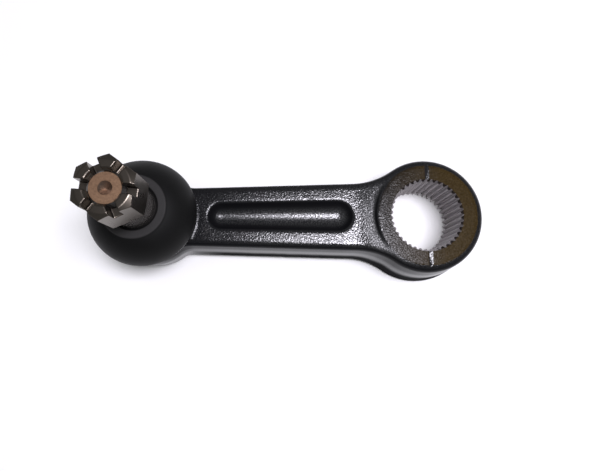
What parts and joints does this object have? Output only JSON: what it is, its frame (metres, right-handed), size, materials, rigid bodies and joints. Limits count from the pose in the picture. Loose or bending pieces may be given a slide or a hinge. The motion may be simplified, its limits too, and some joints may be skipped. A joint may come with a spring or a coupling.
{
  "type": "pitman arm",
  "caption": "Forged steering arm with a serrated eye for a gearbox shaft and an integral ball joint with a dust boot, taper stud and castle nut.",
  "frame": {"origin": "on the axis of the eye's serrated bore, halfway between the eye's two machined faces", "axes": "+Z along the eye's axis, the way the ball stud points; the arm runs along -X from the eye to the ball joint"},
  "size_m": [0.1911, 0.0616, 0.0805],
  "materials": {
    "black_paint": "gloss black paint over a shot-blasted forging",
    "turned_steel": "turned and oiled",
    "nut_steel": "dark oxide, semi-gloss",
    "boot_rubber": "moulded, satin",
    "ring_steel": "drawn wire and pressed ring",
    "seat_plastic": "moulded bearing plastic",
    "spring_steel": "blued spring steel",
    "cover_steel": "pressed and painted"
  },
  "bodies": {
    "arm": {"pitman_arm": "black_paint", "upper_ball_seat": "seat_plastic", "lower_ball_seat": "seat_plastic", "preload_spring": "spring_steel", "end_cover": "cover_steel"},
    "boot": {"dust_boot": "boot_rubber", "boot_clamp_ring": "ring_steel"},
    "neck": {"boot_neck_ring": "ring_steel"},
    "stud": {"ball_stud": "turned_steel", "castle_nut": "nut_steel"}
  },
  "joints": [
    {"name": "stud_lean_direction", "type": "hinge", "parent": "arm", "child": "boot", "pos_m": [-0.1355, 0, 0.00495], "axis": [0, 0, 1], "continuous": true},
    {"name": "stud_lean", "type": "hinge", "parent": "boot", "child": "neck", "pos_m": [-0.1355, 0, 0.00495], "axis": [1, 0, 0], "range_deg": [-18, 18], "deforming": ["dust_boot"]},
    {"name": "stud_spin", "type": "hinge", "parent": "neck", "child": "stud", "pos_m": [-0.1355, 0, 0.00495], "axis": [0, 0, 1], "continuous": true}
  ]
}
